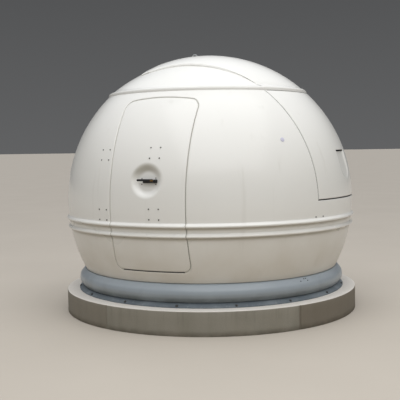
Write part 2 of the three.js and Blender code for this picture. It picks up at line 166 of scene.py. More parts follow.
def cloudy_finish(name, roughness, scale, first, second, metallic=0.0):
    """A material in two shades that a cloudy noise mixes."""
    made, shader, place = new_finish(name, roughness, metallic)
    place.noise(scale).mix(first, second).feed(shader, "Base Color")
    return made


bpy.context.scene.view_settings.view_transform = "Standard"
world = bpy.data.worlds.new("overcast")
world.use_nodes = True
sky = world.node_tree.nodes["Background"]
seen = Socket(world.node_tree).add("ShaderNodeTexCoord", output="Generated")
upness = part_of(seen)
sky_stops = [
    (0.0, (0.08, 0.08, 0.08, 1)),  # straight down
    (0.5, (0.15, 0.152, 0.155, 1)),  # the horizon
    (0.62, (0.10, 0.102, 0.105, 1)),
    (1.0, (1.99, 2.02, 2.09, 1)),  # overhead
]
seen.add("ShaderNodeValToRGB", {"stops": sky_stops}, {0: upness * 0.5 + 0.5}).feed(sky, "Color")
sky.inputs["Strength"].default_value = 0.8
bpy.context.scene.world = world

softbox = bpy.data.objects.new("softbox", bpy.data.lights.new("softbox", "AREA"))
softbox.data.size = 10.0
softbox.data.energy = 355.0
aim = Vector((2.6, -3.8, 6.4)).to_track_quat("Z", "Y").to_matrix().to_4x4()
softbox.matrix_world = Matrix.Translation((3.0, -4.0, 7.8)) @ aim
bpy.context.scene.collection.objects.link(softbox)

floor_reach = 300
floor_mesh = bpy.data.meshes.new("floor")
sheet = bmesh.new()
bmesh.ops.create_grid(sheet, x_segments=1, y_segments=1, size=floor_reach)
sheet.to_mesh(floor_mesh)
sheet.free()
floor = bpy.data.objects.new("floor", floor_mesh)
floor_mesh.materials.append(cloudy_finish("pale floor", 0.85, 0.7, (176, 168, 156), (184, 176, 164)))
bpy.context.scene.collection.objects.link(floor)


# Plinth: a round slab of concrete, cast in five curved forms that left a thin joint between them.
# Its top is washed pale, its side is stained in upright streaks, and a painted highlight lies along the rim.
def lattice(columns, rows, place, missing=None):
    """A skin over a grid of columns and rows.

    place() gives each crossing's point and its distance from an edge. missing() picks the faces left out.
    """
    bm = bmesh.new()
    across, up = len(columns) - 1, len(rows) - 1
    bmesh.ops.create_grid(bm, x_segments=across, y_segments=up, size=0.5)
    for v in bm.verts:
        v.co = (columns[round((v.co.x + 0.5) * across)], rows[round((v.co.y + 0.5) * up)], 0)
    if missing:
        gone = [face for face in bm.faces if missing(*face.calc_center_median().xy)]
        bmesh.ops.delete(bm, geom=gone, context="FACES")
    edge = bm.verts.layers.float.new("edge")
    for v in bm.verts:
        v.co, v[edge] = place(v.co.x, v.co.y)
    bmesh.ops.remove_doubles(bm, verts=bm.verts, dist=1e-6)
    bmesh.ops.recalc_face_normals(bm, faces=bm.faces)
    return bm


def spread(low, high, step):
    """Even stops from low up to high, high left out."""
    count = max(1, round((high - low) / step))
    return [low + (high - low) * i / count for i in range(count)]


def add_piece(name, bm, finishes, body, nodes=(), sharp=40):
    """A finished piece of the model, smooth but for edges over an angle."""
    mesh = bpy.data.meshes.new(name)
    bm.to_mesh(mesh)
    bm.free()
    mesh.shade_smooth()
    mesh.set_sharp_from_angle(angle=math.radians(sharp))
    for finish in finishes if isinstance(finishes, list) else [finishes]:
        mesh.materials.append(finish)
    piece = bpy.data.objects.new(name, mesh)
    bpy.context.scene.collection.objects.link(piece)
    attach(piece, body)
    if nodes:
        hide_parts(*nodes)
    return piece


def polar(azimuth, r, z):
    """A point by its azimuth in degrees, from the door's middle towards the slit."""
    return Vector((r * math.sin(math.radians(azimuth)), -r * math.cos(math.radians(azimuth)), z))


joint_width = 0.3
joint_depth = 0.007
form_turn = 72
form_joints = [-16.7 + form_turn * i for i in range(360 // form_turn)]
plinth_columns = sorted(
    [joint + offset * joint_width for joint in form_joints for offset in (-1, -0.45, 0, 0.45, 1)]
    + [joint + offset for joint in form_joints for offset in spread(1.5, form_turn - 1.5, 1.5)]
    + [form_joints[0] + 359]
)
plinth_columns.append(plinth_columns[0] + 360)
plinth_top = 0.229
plinth_outline = [(0.0, 0.0), (1.5, 0.0), (1.525, 0.0), (1.529, 0.004), (1.529, 0.05), (1.5285, 0.1)]
plinth_outline += [(1.529, 0.16), (1.529, 0.216), (1.5277, 0.2235), (1.5235, 0.2279)]
plinth_outline += [(r, plinth_top) for r in (1.516, 1.45, 1.2, 0.0)]


def plinth_place(azimuth, row):
    """A point of the outline, let in from the side or from above where a form joint is near."""
    r, z = plinth_outline[round(row)]
    nearest = min(abs((azimuth - joint + 180) % 360 - 180) for joint in form_joints)
    groove = joint_depth * max(0.0, 1 - nearest / joint_width) if r > 1.4 and z > 0 else 0.0
    if z >= plinth_top - 0.001:
        return polar(azimuth, r, z - 0.6 * groove), 1.0
    return polar(azimuth, r - groove, z), 1.0


concrete, shader, place = new_finish("cast concrete", 0.88)
z = part_of(place)
clouds = place.noise(3.0, 5.0)
streaks = place.noise(7.0, 4.0, (1, 1, 0.12)).step(0.35, 0.72)
drips = place.noise(34.0, 4.0, (1, 1, 0.04)).step(0.52, 0.7) * z.step(0.02, 0.2)
pores = place.noise(210.0, 2.0)
side = (streaks * 0.35).mix((137, 133, 121), (118, 113, 99))
side = (clouds.step(0.35, 0.7) * 0.4).mix(side, (148, 142, 129))
side = (drips * 0.2).mix(side, (104, 99, 86))
across = part_of(place, 0)
# The forms at both ends of the front left a darker face than the one between them.
darker_forms = across.step(1.242, 1.25) * 0.75 + (1 - across.step(-0.445, -0.437)) * 0.4
side = darker_forms.mix(side, (110, 101, 87))
top = clouds.mix((216, 211, 204), (202, 197, 188))
# Painted highlight: a pale band is painted along the rounded rim, where the edge catches the light.
rim_highlight = z.step(0.2235, 0.2255) * (1 - z.step(0.2275, 0.2288))
colour = z.step(0.2235, 0.228).mix(side, top)
colour = (rim_highlight * 0.6).mix(colour, (222, 217, 209))
splash = (1 - z.step(0.0, 0.07)) * place.noise(9.0).step(0.3, 0.7)
colour = (splash * 0.55).mix(colour, (92, 86, 74))
(pores.step(0.62, 0.7) * 0.35).mix(colour, (90, 84, 72)).feed(shader, "Base Color")
(place.noise(90.0, 4.0) * 0.6 + pores * 0.5 + clouds * 0.8).bump(0.0025).feed(shader, "Normal")
plinth = lattice(plinth_columns, list(range(len(plinth_outline))), plinth_place)
bmesh.ops.dissolve_degenerate(plinth, edges=plinth.edges, dist=1e-7)
add_piece("plinth_cast", plinth, concrete, "base", ["plinth"], 50)


# Flange: a painted slate-blue skirt that slopes from the base ring's foot down to the concrete, all round.
# It is held by sixteen anchor bolts through washers, and rain has left pale run marks on it.
def rounded(corners, closed=True):
    """An outline of (x, y, rounding) corners, with each rounded one as an arc."""
    outline = []
    for i, (x, y, size) in enumerate(corners):
        here = Vector((x, y))
        if not size or (not closed and i in (0, len(corners) - 1)):
            outline.append(here)
            continue
        before = (Vector(corners[i - 1][:2]) - here).normalized()
        after = (Vector(corners[(i + 1) % len(corners)][:2]) - here).normalized()
        half = before.angle(after) / 2
        centre = here + (before + after).normalized() * size / math.sin(half)
        start = here + before * size / math.tan(half) - centre
        end = here + after * size / math.tan(half) - centre
        steps = max(2, math.ceil(math.degrees(math.pi - 2 * half) / 15))
        outline += [centre + size * start.slerp(end, k / steps) for k in range(steps + 1)]
    return outline


centre = Vector((0, 0, 1.138))
axis_swaps = {"Y": Matrix(((1, 0, 0), (0, 0, 1), (0, 1, 0))), "X": Matrix(((0, 0, 1), (0, 1, 0), (1, 0, 0)))}


def turned(outline, axis="Z", start=0.0, turn=360.0, steps=240):
    """A solid from a closed outline of (distance from the axis, place along it), spun round the axis.

    Z is the dome's own axis. X and Y pass through the ball's centre.
    """
    bm = bmesh.new()
    ring = [bm.verts.new((r, 0, along)) for r, along in outline]
    ring_edges = [bm.edges.new((ring[i - 1], ring[i])) for i in range(len(ring))]
    whole = abs(turn) >= 360
    angle = math.radians(turn)
    spun = bmesh.ops.spin(
        bm, geom=ring + ring_edges, cent=(0, 0, 0), axis=(0, 0, 1), angle=angle, steps=steps, use_merge=whole
    )
    if not whole:
        bm.faces.new(ring)
        last = [item for item in spun["geom_last"] if isinstance(item, bmesh.types.BMEdge)]
        bmesh.ops.contextual_create(bm, geom=last)
    bmesh.ops.rotate(bm, cent=(0, 0, 0), matrix=Matrix.Rotation(math.radians(start), 3, "Z"), verts=bm.verts)
    if axis != "Z":
        lay_over = Matrix.Translation(centre) @ axis_swaps[axis].to_4x4()
        bmesh.ops.transform(bm, matrix=lay_over, verts=bm.verts)
    bmesh.ops.remove_doubles(bm, verts=bm.verts, dist=1e-6)
    bmesh.ops.recalc_face_normals(bm, faces=bm.faces)
    return bm


def standing(point, outward):
    """A seat at a point whose z axis points outwards."""
    return Matrix.Translation(point) @ outward.to_track_quat("Z", "Y").to_matrix().to_4x4()


def add_bolt(bm, seat, radius, head, washer=0.0, sides=6):
    """Adds a bolt or screw head with a bevelled top, on its washer, standing on the seat's origin."""
    if washer:
        flat = seat @ Matrix.Translation((0, 0, washer / 2))
        wide = 1.7 * radius
        bmesh.ops.create_cone(
            bm, cap_ends=True, segments=20, radius1=wide, radius2=wide, depth=washer, matrix=flat
        )
    raised = seat @ Matrix.Translation((0, 0, washer + head / 2))
    made = bmesh.ops.create_cone(
        bm, cap_ends=True, segments=sides, radius1=radius, radius2=radius, depth=head, matrix=raised
    )
    down = seat.inverted()
    faces = {face for v in made["verts"] for face in v.link_faces}
    top = max(faces, key=lambda face: (down @ face.calc_center_median()).z)
    bevel = min(0.3 * radius, 0.6 * head)
    bmesh.ops.bevel(bm, geom=top.edges[:], offset=bevel, segments=3, profile=0.5, affect="EDGES", material=-1)


slate, shader, place = new_finish("slate paint", 0.5)
runs = place.noise(5.0, 4.0).step(0.4, 0.7)
colour = runs.mix((88, 97, 103), (108, 116, 121))
(place.noise(40.0, 3.0).step(0.6, 0.75) * 0.4).mix(colour, (150, 152, 148)).feed(shader, "Base Color")
(place.noise(14.0) * 0.3 + 0.4).feed(shader, "Roughness")
place.noise(60.0, 3.0).bump(0.0008).feed(shader, "Normal")
flange_corners = [(1.29, 0.2293, 0), (1.298, 0.2293, 0), (1.298, 0.26, 0.002), (1.357, 0.26, 0.004)]
flange_corners += [(1.386, 0.236, 0.004), (1.39, 0.2293, 0), (1.402, 0.2293, 0.001), (1.402, 0.236, 0.003)]
flange_outline = rounded(flange_corners + [(1.36, 0.268, 0.008), (1.29, 0.268, 0)])
add_piece("flange_plate", turned(flange_outline), slate, "base", ["base_flange"])

anchor_steel, shader, place = new_finish("weathered bolts", 0.5, 0.6)
place.noise(55.0, 4.0).step(0.35, 0.7).mix((66, 68, 69), (96, 94, 90)).feed(shader, "Base Color")
anchor_count = 16
anchor_place = (1.388, 0.2467)
slope_normal = (0.606, 0.795)
anchors = bmesh.new()
for i in range(anchor_count):
    azimuth = 10 + 360 / anchor_count * i
    seat = standing(polar(azimuth, *anchor_place), polar(azimuth, *slope_normal))
    add_bolt(anchors, seat @ Matrix.Rotation(0.9 * i, 4, "Z"), radius=0.0085, head=0.008, washer=0.002)
add_piece("anchor_bolts", anchors, anchor_steel, "base", sharp=30)

# Base ring: a ring with a round bulge on which the ball turns, moulded in grey gelcoat in four lengths.
# Its upper half reflects the sky, and the lower half is painted a darker green-grey, partly splash marks and
# partly painted shade.
ring_paint, shader, place = new_finish("grey ring gelcoat", 0.32)
z = part_of(place)
# Painted shade: the downward-facing lower half is painted darker, mixed with splash marks.
dirt_and_shade = (1 - z.step(0.27, 0.385)) * (place.noise(4.0, 4.0).step(0.25, 0.75) * 0.6 + 0.4)
colour = place.noise(2.0, 4.0).mix((156, 164, 170), (146, 155, 161))
colour = (dirt_and_shade * 0.85).mix(colour, (98, 102, 98))
streaks = place.noise(6.0, 3.0, (1, 1, 0.08)).step(0.55, 0.75)
(streaks * 0.25).mix(colour, (120, 126, 126)).feed(shader, "Base Color")
(dirt_and_shade * 0.25 + 0.28).feed(shader, "Roughness")
place.noise(2.5, 2.0).bump(0.0008).feed(shader, "Normal")
ring_outside = [(1.3, 0.2683, 0), (1.35, 0.2683, 0.002), (1.362, 0.274, 0.01), (1.391, 0.318, 0.012)]
ring_outside += [(1.3965, 0.348, 0.04), (1.388, 0.385, 0.05), (1.352, 0.428, 0.02), (1.341, 0.438, 0.008)]
ring_inside = [(1.285, 0.438, 0.002), (1.285, 0.428, 0.002), (1.336, 0.428, 0.008), (1.377, 0.382, 0.05)]
ring_inside += [(1.386, 0.345, 0.05), (1.381, 0.322, 0.02), (1.356, 0.284, 0.01), (1.3, 0.284, 0.004)]
ring_nodes = ["base_ring_%d" % (i + 1) for i in range(4)]
ring = turned(rounded(ring_outside + ring_inside))
add_piece("base_ring", ring, ring_paint, "base", ring_nodes, 50)

# Ball wall: a white glass-fibre moulding, eight millimetres thick, with a gloss gelcoat outside.
# Two ribs run round it. The doorway and the slit are cut through it, and their edges are rolled inwards.
radius = 1.5
skin = 0.008
rib_heights = (0.889, 0.980)
rib_rise = 0.024
rib_half = 0.031
door_top = 2.146
door_slope = (door_top - centre.z) / radius
drop_reach = 0.45
roll = 0.006
edge_stops = [0.0, 0.134 * roll, 0.5 * roll, roll, 0.015]


def outline_of(*sizes):
    """An outline like the doorway's, with the radii of its low and its top corners."""
    return dict(zip(("left", "right", "low", "top", "low_corner", "top_corner"), sizes))


def inside_of(outline, u, z):
    """How far a column and a row lie inside an outline."""
    return min(outline["right"] - u, u - outline["left"], z - outline["low"], outline["top"] - z)


def smooth(share):
    """Rises smoothly from 0 at 0 to 1 at 1."""
    share = min(1.0, max(0.0, share))
    return share * share * (3 - 2 * share)


def rib_lift(z):
    """How far the ribs lift the skin at a height."""
    shares = [abs(z - height) / rib_half for height in rib_heights]
    return sum(rib_rise * math.cos(0.5 * math.pi * share) ** 2 for share in shares if share < 1)


def ring_at(z, lift=0.0):
    """Radius and height of the skin's ring whose bare ball is at a height."""
    rise = math.asin((z - centre.z) / radius)
    distance = radius + rib_lift(z) + lift
    return distance * math.cos(rise), centre.z + distance * math.sin(rise)


def on_front(x, z, lift=0.0):
    """A point on the door's side of the ball."""
    r, level = ring_at(z, lift)
    return Vector((x, -math.sqrt(r * r - x * x), level))


def on_slit(y, z, lift=0.0):
    """A point on the slit's side of the ball."""
    r, level = ring_at(z, lift)
    return Vector((math.sqrt(r * r - y * y), y, level))


def door_drop(x):
    """How far the doorway's top edge falls at x, as it follows a plane through the ball's centre."""
    x = min(abs(x), drop_reach)
    return door_slope * (radius - math.sqrt(radius * radius - x * x))


def round_off(p, q, size):
    """Rounds a grid's square corner: p and q are measured outwards from the corner's two edges."""
    keep, fade = 0.01, 0.04
    a, b = p + size, q + size
    m = max(a, b)
    if min(a, b) <= 0 or m >= size + keep + fade:
        return p, q
    angle = (b / a if a >= b else 2 - a / b) * math.pi / 4
    share = 1 - smooth((m - size - keep) / fade)
    return p + share * (m * math.cos(angle) - a), q + share * (m * math.sin(angle) - b)


def round_door(x, z, left, right, low, top, low_corner, top_corner):
    """Moves a crossing of the door's grid so that the doorway's corners become round."""
    p = x - right if x > 0 else left - x
    ceiling = top - door_drop(x)
    if z > 0.5 * (low + top):
        p, q = round_off(p, z - ceiling, top_corner)
        z = ceiling + q
    else:
        p, q = round_off(p, low - z, low_corner)
        z = low - q
    return (right + p if x > 0 else left - p), z


def top_share(z):
    """How much of the doorway's drop a row follows, from none at mid height to none again at the lip."""
    start, whole, fade, end = 1.75, 2.0, 2.172, 2.21
    return smooth((z - start) / (whole - start)) * (1 - smooth((z - fade) / (end - fade)))


def shell(bm, thickness, roll_size, inner_finish=None):
    """Rolls a skin's edges inwards and gives it its inner face, all square to the skin."""
    bm.normal_update()
    edge = bm.verts.layers.float["edge"]
    base = bm.verts.layers.float_vector.new("base")
    inward = bm.verts.layers.float_vector.new("inward")
    for v in bm.verts:
        v[base] = v.co
        v[inward] = -v.normal
        flat = roll_size - max(0.0, v[edge])
        if flat > 0:
            v.co -= v.normal * (roll_size - math.sqrt(roll_size**2 - flat**2))
    made = bmesh.ops.extrude_face_region(bm, geom=bm.faces, use_keep_orig=True)
    for item in made["geom"]:
        if isinstance(item, bmesh.types.BMVert):
            item.co = item[base] + item[inward] * thickness
        elif isinstance(item, bmesh.types.BMFace) and inner_finish is not None:
            item.material_index = inner_finish
    for layer in (base, inward):
        bm.verts.layers.float_vector.remove(layer)
    bm.verts.layers.float.remove(bm.verts.layers.float["edge"])
    bmesh.ops.recalc_face_normals(bm, faces=bm.faces)


wall_foot = 0.4435
wall_lip = 2.2107
doorway = outline_of(-0.391, 0.387, 0.545, 2.153, 0.077, 0.082)
slit_half = 0.624
slit_sill = 1.165
front_reach = 0.45
side_reach = slit_half + 0.045
side_stop = front_reach + 1.2
slit_middle = side_stop + side_reach
back_stop = slit_middle + side_reach
wall_end = back_stop + 5.9


def wall_azimuth(u, r):
    """Azimuth of a column: square to the doorway and the slit near them, and evenly turned in between."""
    front = math.asin(front_reach / r)
    side = math.acos(side_reach / r)
    if u <= front_reach:
        return math.asin(u / r)
    if u <= side_stop:
        return front + (side - front) * (u - front_reach) / (side_stop - front_reach)
    if u <= back_stop:
        return math.acos((slit_middle - u) / r)
    return math.pi - side + (math.pi - front + side) * (u - back_stop) / (wall_end - back_stop)


def wall_place(u, z):
    """A point of the wall by its column and the height of its ring, and its distance from an edge."""
    beside_door = -inside_of(doorway, u, z)
    beside_slit = max(abs(u - slit_middle) - slit_half, slit_sill - z)
    across = abs(u) if u < slit_middle else front_reach + wall_end - u
    z -= top_share(z) * (1 - smooth((across - front_reach) / 0.45)) * door_drop(across)
    if abs(u) <= front_reach:
        x, z = round_door(u, z, **doorway)
        return on_front(x, z), beside_door
    r, level = ring_at(z)
    return polar(math.degrees(wall_azimuth(u, r)), r, level), min(beside_door, beside_slit)


def wall_missing(u, z):
    """Whether a face lies in the doorway or in the slit."""
    return inside_of(doorway, u, z) > 0 or (abs(u - slit_middle) < slit_half and z > slit_sill)


def mirrored(stops):
    """The same stops on the other side of zero, in rising order."""
    return [-stop for stop in reversed(stops)]


def after(edge, stops=edge_stops):
    """Columns or rows from an edge up, each a stop away from it."""
    return [edge + stop for stop in stops]


def before(edge, stops=edge_stops):
    """Columns or rows up to an edge, each a stop away from it."""
    return [edge - stop for stop in reversed(stops)]


def rib_rows(low, high):
    """Rows over both ribs, close together on them."""
    rows = []
    for height in rib_heights:
        rows += spread(low, height - rib_half, 0.035) + spread(height - rib_half, height + rib_half, 0.0035)
        low = height + rib_half
    return rows + spread(low, high, 0.035)


door_sill, door_head = doorway["low"], doorway["top"]
low_corner_end = door_sill + doorway["low_corner"]
top_corner_start = door_head - doorway["top_corner"]
wall_rows = spread(wall_foot, door_sill - 0.015, 0.023) + before(door_sill)
wall_rows += spread(door_sill + 0.0096, low_corner_end, 0.0096)
wall_rows += rib_rows(low_corner_end, slit_sill - 0.015) + before(slit_sill)
wall_rows += spread(slit_sill + 0.03, top_corner_start, 0.035) + spread(top_corner_start, door_head, 0.0117)
wall_rows += after(door_head) + spread(door_head + 0.025, wall_lip, 0.018) + [wall_lip]
beside_left, beside_right = before(doorway["left"]), after(doorway["right"])
wall_columns = spread(-front_reach, beside_left[0], 0.015) + beside_left
wall_columns += spread(doorway["left"] + 0.0117, -0.309, 0.0117) + spread(-0.309, 0.305, 0.04)
wall_columns += spread(0.305, doorway["right"], 0.0117) + beside_right
wall_columns += spread(beside_right[-1] + 0.015, front_reach, 0.015) + spread(front_reach, side_stop, 0.04)
slit_columns = spread(-side_reach, -slit_half - 0.015, 0.015) + before(-slit_half)
slit_columns += spread(-slit_half + 0.04, slit_half, 0.04) + after(slit_half)
slit_columns += spread(slit_half + 0.03, side_reach, 0.015)
wall_columns += after(slit_middle, slit_columns) + spread(back_stop, wall_end, 0.04) + [wall_end]

dish_azimuth = 0.5
dish_rise = 9.5
out = polar(dish_azimuth, math.cos(math.radians(dish_rise)), math.sin(math.radians(dish_rise)))
dish_middle = centre + radius * out
scoop_rise = 14.0
scoop_out = Vector((math.cos(math.radians(scoop_rise)), 0, math.sin(math.radians(scoop_rise))))
scoop_up = Vector((-scoop_out.z, 0, scoop_out.x))
gelcoat, shader, place = new_finish("white gelcoat", 0.25)
shader.inputs["Coat Weight"].default_value = 0.25
shader.inputs["Coat Roughness"].default_value = 0.12
z = part_of(place)
clouds = place.noise(1.3, 4.0)
colour = clouds.mix((232, 231, 226), (226, 225, 219))
# Painted shade and painted ground reflection: the skin is painted darker and warmer towards its foot,
# together with some grime.
low_grime_and_shade = (1 - z.step(0.44, 1.15)) * (place.noise(2.6, 5.0).step(0.2, 0.8) * 0.5 + 0.5)
colour = (low_grime_and_shade * 0.65).mix(colour, (192, 181, 161))
# Painted shade: a darker line is painted under each rib, where its underside is in shade.
under_rib_shade = z.step(0.835, 0.872) * (1 - z.step(0.872, 0.885))
under_rib_shade = under_rib_shade + z.step(0.93, 0.962) * (1 - z.step(0.962, 0.974))
colour = (under_rib_shade * 0.75).mix(colour, (150, 141, 122))
# Painted shade: the dish's upper slope, which faces down, is painted darker and browner, fading towards its
# right.
from_dish = place.vector("DISTANCE", dish_middle, 1)
dish_shade_crescent = from_dish.step(0.078, 0.115) * (1 - from_dish.step(0.13, 0.178)) * z.step(1.38, 1.48)
dish_shade_crescent = dish_shade_crescent * (1 - part_of(place, 0).step(0.0, 0.15) * 0.6)
colour = (dish_shade_crescent * 0.6).mix(colour, (146, 142, 124))
# Painted shade: the slot under the ledge of the hatch's scoop is painted dark, for the shade in it.
from_centre = place.vector("SUBTRACT", centre)
over = from_centre.vector("DOT_PRODUCT", scoop_up, 1)
level = from_centre.vector("DOT_PRODUCT", scoop_out, 1)
aside = part_of(place, 1)
slot = over.step(0.123, 0.129) * (1 - over.step(0.1395, 0.141)) * (1 - level.step(1.478, 1.487))
slot = slot * aside.step(-0.15, -0.146) * (1 - aside.step(0.146, 0.15)) * part_of(place, 0).step(1.3, 1.35)
colour = (slot * 0.9).mix(colour, (58, 54, 46))
runs = place.noise(9.0, 3.0, (1, 1, 0.035)).step(0.6, 0.78)
colour = (runs * 0.16).mix(colour, (188, 184, 172))
specks = place.noise(120.0, 2.0).step(0.72, 0.78)
(specks * 0.25).mix(colour, (150, 142, 124)).feed(shader, "Base Color")
(clouds * 0.12 + low_grime_and_shade * 0.2 + 0.17).feed(shader, "Roughness")
place.noise(1.1, 1.0).bump(0.002).feed(shader, "Normal")

raw_inside, shader, place = new_finish("rolled glass fibre", 0.55)
weave = place.noise(26.0, 5.0)
weave.mix((214, 213, 204), (196, 195, 184)).feed(shader, "Base Color")
(weave * 0.6 + place.noise(150.0, 2.0) * 0.3).bump(0.0012).feed(shader, "Normal")

walls = lattice(wall_columns, wall_rows, wall_place, wall_missing)
shell(walls, skin, roll, 1)
wall_nodes = ["wall_front_right", "wall_back_right", "wall_back_left", "wall_front_left", "wall_over_door"]
wall_nodes += ["wall_under_door", "wall_under_hatch"]
add_piece("ball_wall", walls, [gelcoat, raw_inside], "ball", wall_nodes)

# Foot ring: a flat ring of glass fibre, laid into the foot of the ball's wall in four lengths.
# The ball turns on it, just over the base ring's ledge.
foot_corners = (1.29, 0.4383), (1.3202, 0.4383), (1.3202, 0.4543), (1.29, 0.4543)
foot_ring = turned(rounded([(r, z, 0.002) for r, z in foot_corners]))
foot_nodes = ["foot_ring_%d" % (i + 1) for i in range(4)]
add_piece("foot_ring", foot_ring, raw_inside, "ball", foot_nodes)

# Cap: a flatter white moulding over the ball's open top, whose brim hangs over the wall's lip all round.
# A straight slot is cut out of it for the shutter, from behind the crown to the slit.
cap_radius = 1.607
cap_height = 1.001
cap_reach = 1.0
cap_end = math.asin(cap_reach / cap_radius)
cap_steps = 28
slot_rear = -0.378


def cap_point(angle):
    """Radius and height of the cap's skin at an angle from straight up."""
    return cap_radius * math.sin(angle), cap_height + cap_radius * math.cos(angle)


def slot_distance(x, y):
    """How far a point lies outside the shutter's slot, seen from above."""
    beside, behind = abs(y) - slit_half, slot_rear - x
    return math.hypot(beside, behind) if beside > 0 and behind > 0 else max(beside, behind)


def sliced(bm, normal, distance, reach, **options):
    """Cuts a mesh along a plane at a distance along its normal."""
    everything = bm.verts[:] + bm.edges[:] + bm.faces[:]
    spot = normal * distance
    return bmesh.ops.bisect_plane(bm, geom=everything, dist=reach, plane_co=spot, plane_no=normal, **options)


cap_brim = [(cap_reach, cap_point(cap_end)[1], 0), (1.0264, 2.2502, 0.03), (1.044, 2.2425, 0.012)]
cap_brim += [(1.05, 2.228, 0.01), (1.05, 2.211, 0)]
cap_line = [cap_point(cap_end * i / cap_steps) for i in range(cap_steps)]
cap_line += [tuple(point) for point in rounded(cap_brim, closed=False)]
cap = bmesh.new()
line = [cap.verts.new((r, 0, z)) for r, z in cap_line]
line += [cap.edges.new(pair) for pair in zip(line, line[1:])]
bmesh.ops.spin(
    cap, geom=line, cent=(0, 0, 0), axis=(0, 0, 1), angle=2 * math.pi, steps=288, use_merge=True
)
bmesh.ops.remove_doubles(cap, verts=cap.verts, dist=1e-5)
along_x, along_y = Vector((1, 0, 0)), Vector((0, 1, 0))
for stop in edge_stops:
    slot_sides = (along_y, slit_half + stop), (along_y, -slit_half - stop), (along_x, slot_rear - stop)
    for normal, distance in slot_sides:
        sliced(cap, normal, distance, 1e-5)
slot_faces = [face for face in cap.faces if slot_distance(*face.calc_center_median().xy) < 0]
bmesh.ops.delete(cap, geom=slot_faces, context="FACES")
bmesh.ops.recalc_face_normals(cap, faces=cap.faces)
edge = cap.verts.layers.float.new("edge")
for v in cap.verts:
    v[edge] = max(0.0, slot_distance(v.co.x, v.co.y))
shell(cap, skin, roll, 1)
cap_nodes = ["cap_near", "cap_far", "cap_rear"]
add_piece("cap_moulding", cap, [gelcoat, raw_inside], "ball", cap_nodes)

# Returns: the slit's edges are turned down into the dome on both sides and behind the crown.
# They are moulded in one with the wall and the cap, in the same gelcoat.
return_depth = 0.045
return_back = 0.0005
under_skin = 0.004
brim_inside = 1.045


def cap_level(x, y):
    """Height of the cap's skin over a point."""
    return cap_height + math.sqrt(cap_radius**2 - x * x - y * y)


def ball_level(x, y, distance=radius):
    """Height over a point of a ball round the wall's centre."""
    return centre.z + math.sqrt(distance**2 - x * x - y * y)


def return_place(side, turn, row):
    """A return's face at the slit's side, by the angle round the ball's centre, from its low edge up."""
    across, up = math.cos(math.radians(turn)), math.sin(math.radians(turn))
    y = slit_half + return_back
    reach = math.sqrt((radius - return_depth) ** 2 - y * y)
    if row:
        reach = math.sqrt(radius**2 - y * y) - under_skin
        drop = centre.z - cap_height
        to_cap = math.sqrt(cap_radius**2 - y * y - (drop * across) ** 2) - drop * up - under_skin
        if (to_cap * across) ** 2 + y * y < brim_inside**2:
            reach = min(reach, to_cap)
    return Vector((reach * across, side * y, centre.z + reach * up)), 1.0


def add_return(name, sheet, facing):
    """A return from its visible face, which is turned to face the slit."""
    sheet.faces.ensure_lookup_table()
    if sheet.faces[0].normal.dot(Vector(facing)) < 0:
        bmesh.ops.reverse_faces(sheet, faces=sheet.faces)
    shell(sheet, 0.007, 0.0)
    add_piece("slit_return_" + name, sheet, gelcoat, "ball")


return_end = 106.8
turns = spread(1.6, return_end, 1.0) + [return_end]
for name, side in (("near", -1), ("far", 1)):
    sheet = lattice(turns, [0, 1], lambda turn, row: return_place(side, turn, row))
    add_return(name, sheet, (0, -side, 0))


def rear_return_place(y, row):
    """The rear return's face, across the slit, from its low edge up to the cap."""
    x = slot_rear - return_back
    low = ball_level(x, y, radius - return_depth)
    return Vector((x, y, cap_level(x, y) - under_skin if row else low)), 1.0


sheet = lattice(spread(-slit_half, slit_half, 0.04) + [slit_half], [0, 1], rear_return_place)
add_return("rear", sheet, (1, 0, 0))

# Coaming: a raised edge right round inside the slit, on which the hatch and the shutter close.
# It is laid up in four lengths against the wall's inner face, under both sides, the rear and the sill.
ball_inner = 1.4917
coaming_inner = 1.46
coaming_out = 0.6237
rear_out = 0.3777


def coaming_section(near, far, roundness=0.004, low=coaming_inner, high=ball_inner):
    """Section of a strip on the ball between two places along its axis: (distance from it, place)."""
    corners = [(high, near), (high, far), (low, far), (low, near)]
    return rounded([(math.sqrt(d * d - along * along), along, roundness) for d, along in corners])


def angle_at(distance, along, level):
    """Angle round the ball's centre at which a ring reaches a height."""
    return math.degrees(math.asin((level - centre.z) / math.sqrt(distance**2 - along**2)))


def strip_turned(outline, axis, half, distance, steps=60, middle=0.0):
    """A strip spun evenly to both sides, so far that a point at a distance ends half the width aside."""
    half_turn = math.degrees(math.asin(half / distance))
    return turned(outline, axis, middle - half_turn, 2 * half_turn, steps)


def ball_section(low, high, roundness=0.004, inner=coaming_inner, outer=ball_inner):
    """Section of a band on the ball between two heights: (radius, height)."""
    corners = [(outer, low), (outer, high), (inner, high), (inner, low)]
    return rounded([(math.sqrt(d * d - (z - centre.z) ** 2), z, roundness) for d, z in corners])


for name, side in (("near", -1), ("far", 1)):
    start = angle_at(coaming_inner, 0.6, 1.1955)
    end = 180 - math.degrees(math.acos(rear_out / math.sqrt(ball_inner**2 - 0.6**2)))
    strip = turned(coaming_section(side * coaming_out, side * 0.585), "Y", start, end - start, 110)
    add_piece("coaming_strip_" + name, strip, gelcoat, "ball", ["coaming_" + name])
rear_distance = math.sqrt(coaming_inner**2 - 0.36**2)
rear = strip_turned(coaming_section(-rear_out, -0.3397), "X", 0.5847, rear_distance, 48)
add_piece("coaming_strip_rear", rear, gelcoat, "ball", ["coaming_rear"])
sill_strip = strip_turned(ball_section(1.15, 1.1947), "Z", coaming_out, coaming_inner)
add_piece("hatch_sill_strip", sill_strip, gelcoat, "ball", ["hatch_sill"])

